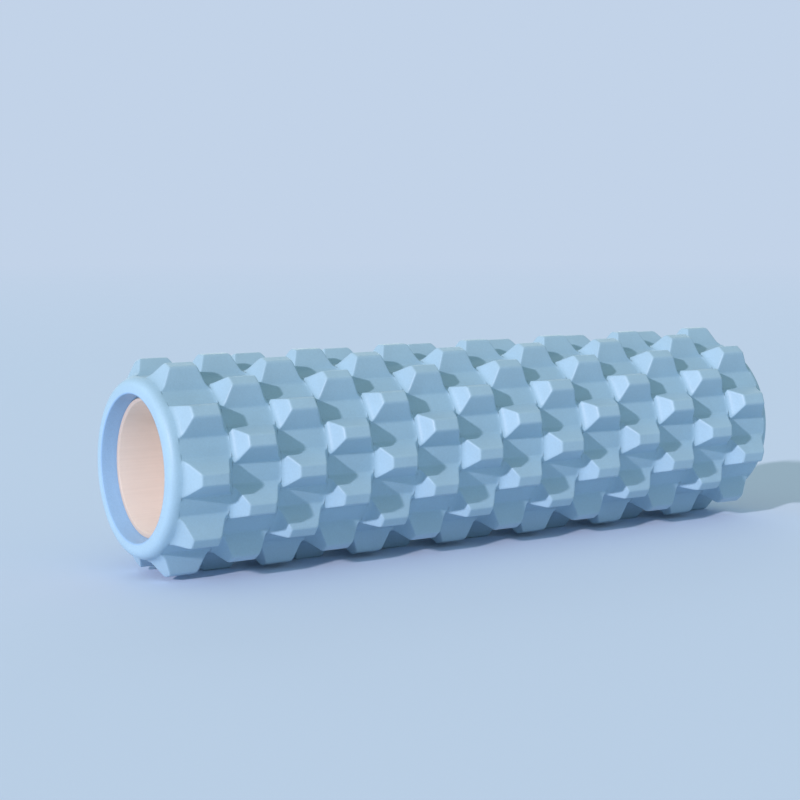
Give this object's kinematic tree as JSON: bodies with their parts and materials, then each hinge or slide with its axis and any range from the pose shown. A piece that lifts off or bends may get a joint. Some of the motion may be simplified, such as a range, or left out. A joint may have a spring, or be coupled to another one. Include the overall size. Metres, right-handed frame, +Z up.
{
  "type": "foam roller",
  "caption": "Hollow massage foam roller: a moulded foam sleeve with staggered blocky knobs and plain rounded end rims, on a rigid core tube set back inside each end.",
  "frame": {"origin": "middle of the roller, on its axis and halfway between the end rims", "axes": "X along the roller's axis; +Z up when the roller rests on the knobs that point straight down; -Y is the side a person faces"},
  "size_m": [0.45, 0.1274, 0.1274],
  "materials": {
    "foam": "matte",
    "core_plastic": "satin"
  },
  "bodies": {
    "root": {"foam_sleeve": "foam", "core_tube": "core_plastic"}
  },
  "joints": []
}
